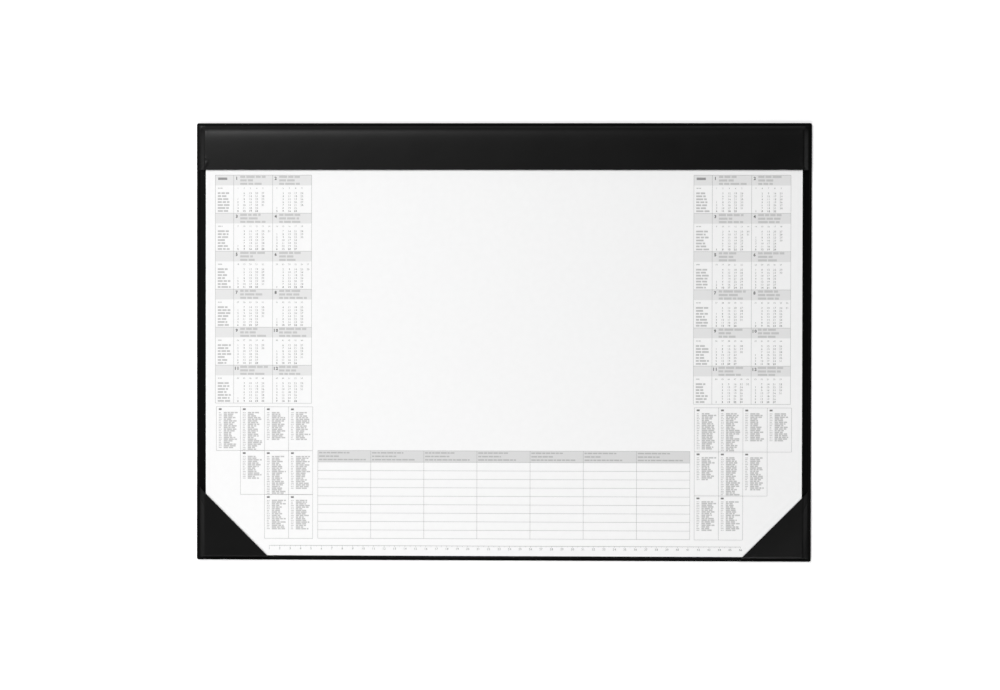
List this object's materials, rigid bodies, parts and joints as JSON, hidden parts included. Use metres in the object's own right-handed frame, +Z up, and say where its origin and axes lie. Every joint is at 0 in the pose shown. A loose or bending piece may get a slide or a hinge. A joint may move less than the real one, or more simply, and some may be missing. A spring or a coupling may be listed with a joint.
{
  "type": "desk pad",
  "caption": "Flat rectangular desk mat with a head band and corner pockets that hold a pad of printed calendar and planner sheets.",
  "frame": {"origin": "centre of the mat's underside, on the desk", "axes": "+X to the right along the long side, +Y towards the head band, +Z up out of the writing surface"},
  "size_m": [0.59, 0.42, 0.0068],
  "materials": {
    "foam": "matt closed-cell foam with a fine waffle grip",
    "foil": "black satin soft foil with a very fine grain",
    "board": "grey uncoated board",
    "paper": "white uncoated writing paper printed in greys",
    "glue": "dried padding glue"
  },
  "bodies": {
    "root": {"foam_backing": "foam", "mat_foil": "foil", "backing_board": "board", "calendar_sheets": "paper", "glue_binding": "glue", "header_band": "foil", "corner_pocket_left": "foil", "corner_pocket_right": "foil"}
  },
  "joints": []
}
